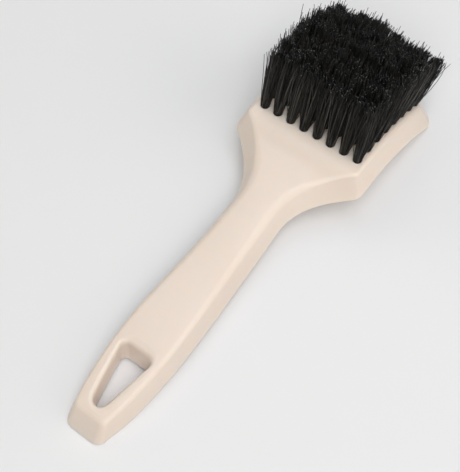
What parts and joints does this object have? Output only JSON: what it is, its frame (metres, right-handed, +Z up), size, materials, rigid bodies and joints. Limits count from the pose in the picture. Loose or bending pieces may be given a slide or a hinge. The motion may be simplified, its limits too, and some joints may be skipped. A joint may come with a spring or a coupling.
{
  "type": "upholstery brush",
  "caption": "One-piece moulded upholstery brush: long tapered handle with a triangular hang hole, and a wide arched head set with rows of dense nylon tufts.",
  "frame": {"origin": "in the rest plane, under the middle of the brush, as it lies on its back with the bristles up", "axes": "+Y along the brush from the blunt grip end to the head, +Z up out of the bristles, +X across the head"},
  "size_m": [0.0696, 0.2266, 0.0546],
  "materials": {
    "cream_plastic": "satin injection moulding, warm cream",
    "black_nylon": "dense drawn filaments, satin black",
    "bright_wire": "flat drawn wire"
  },
  "bodies": {
    "root": {"handle": "cream_plastic", "tuft_row_1": "black_nylon", "tuft_row_2": "black_nylon", "tuft_row_3": "black_nylon", "tuft_row_4": "black_nylon", "tuft_row_5": "black_nylon", "tuft_row_6": "black_nylon", "tuft_row_7": "black_nylon", "tuft_row_8": "black_nylon", "anchor_row_1": "bright_wire", "anchor_row_2": "bright_wire", "anchor_row_3": "bright_wire", "anchor_row_4": "bright_wire", "anchor_row_5": "bright_wire", "anchor_row_6": "bright_wire", "anchor_row_7": "bright_wire", "anchor_row_8": "bright_wire"}
  },
  "joints": []
}
